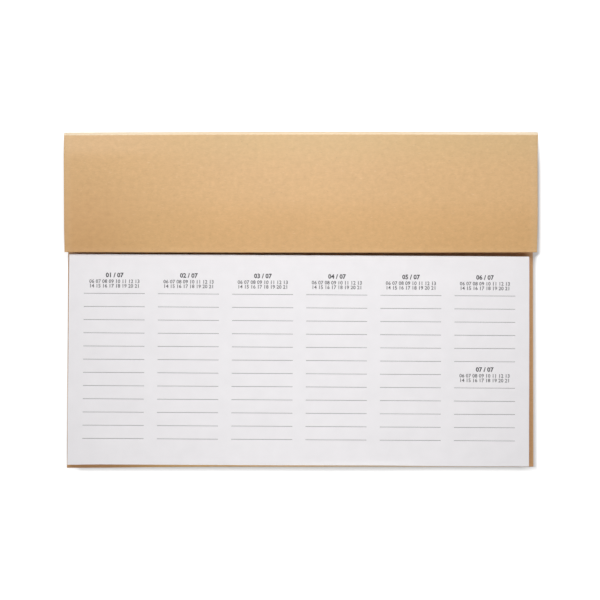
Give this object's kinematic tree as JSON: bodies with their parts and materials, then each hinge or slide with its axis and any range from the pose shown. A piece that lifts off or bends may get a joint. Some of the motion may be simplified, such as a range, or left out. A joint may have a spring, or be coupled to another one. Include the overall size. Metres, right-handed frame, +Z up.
{
  "type": "desk weekly planner",
  "caption": "Desk weekly planner: a creased kraft card cover with a header flap raised on a spine, and a tear-off pad of ruled weekly sheets taped in front of it.",
  "frame": {"origin": "middle of the planner's underside, on the surface it lies on", "axes": "+X to the reader's right, +Y from the foot of the pad to the header, +Z up"},
  "size_m": [0.297, 0.212, 0.013],
  "materials": {
    "kraft_card": "uncoated recycled kraft board, matte, finely mottled",
    "sheet_paper": "uncoated white writing paper, matte",
    "mounting_tape": "double-sided tape, satin",
    "padding_glue": "dried padding glue, satin"
  },
  "bodies": {
    "cover_back": {"back_panel": "kraft_card", "lower_crease": "kraft_card", "mounting_tape": "mounting_tape", "padding_glue": "padding_glue", "sheet_03": "sheet_paper", "sheet_04": "sheet_paper", "sheet_05": "sheet_paper", "sheet_06": "sheet_paper", "sheet_07": "sheet_paper", "sheet_08": "sheet_paper", "sheet_09": "sheet_paper", "sheet_10": "sheet_paper", "sheet_11": "sheet_paper", "sheet_12": "sheet_paper", "sheet_13": "sheet_paper", "sheet_14": "sheet_paper", "sheet_15": "sheet_paper", "sheet_16": "sheet_paper", "sheet_17": "sheet_paper", "sheet_18": "sheet_paper", "sheet_19": "sheet_paper", "sheet_20": "sheet_paper", "sheet_21": "sheet_paper", "sheet_22": "sheet_paper", "sheet_23": "sheet_paper", "sheet_24": "sheet_paper", "sheet_25": "sheet_paper", "sheet_26": "sheet_paper", "sheet_27": "sheet_paper", "sheet_28": "sheet_paper", "sheet_29": "sheet_paper", "sheet_30": "sheet_paper", "sheet_31": "sheet_paper", "sheet_32": "sheet_paper", "sheet_33": "sheet_paper", "sheet_34": "sheet_paper", "sheet_35": "sheet_paper", "sheet_36": "sheet_paper", "sheet_37": "sheet_paper", "sheet_38": "sheet_paper", "sheet_39": "sheet_paper", "sheet_40": "sheet_paper", "sheet_41": "sheet_paper", "sheet_42": "sheet_paper", "sheet_43": "sheet_paper", "sheet_44": "sheet_paper", "sheet_45": "sheet_paper", "sheet_46": "sheet_paper", "sheet_47": "sheet_paper", "sheet_48": "sheet_paper", "sheet_49": "sheet_paper", "sheet_50": "sheet_paper", "sheet_51": "sheet_paper", "sheet_52": "sheet_paper"},
    "spine": {"spine_panel": "kraft_card", "upper_crease": "kraft_card"},
    "flap": {"header_flap": "kraft_card"},
    "second_sheet": {"sheet_02": "sheet_paper"},
    "top_sheet": {"sheet_01": "sheet_paper"}
  },
  "joints": [
    {"name": "spine_hinge", "type": "hinge", "parent": "cover_back", "child": "spine", "pos_m": [0, 0.10528, 0.00072], "axis": [-1, 0, 0], "range_deg": [0, 90], "deforming": ["lower_crease"]},
    {"name": "flap_hinge", "type": "hinge", "parent": "spine", "child": "flap", "pos_m": [0, 0.10528, 0.01228], "axis": [-1, 0, 0], "range_deg": [0, 90], "deforming": ["upper_crease"]},
    {"name": "sheet_lift", "type": "hinge", "parent": "cover_back", "child": "second_sheet", "pos_m": [-0.00085, 0.0289, 0.00798], "axis": [-1, 0.0052, 0], "range_deg": [0, 100]},
    {"name": "sheet_tear_off", "type": "slide", "parent": "second_sheet", "child": "top_sheet", "axis": [-0.0052, -1, 0], "range_m": [0, 0.14]}
  ]
}
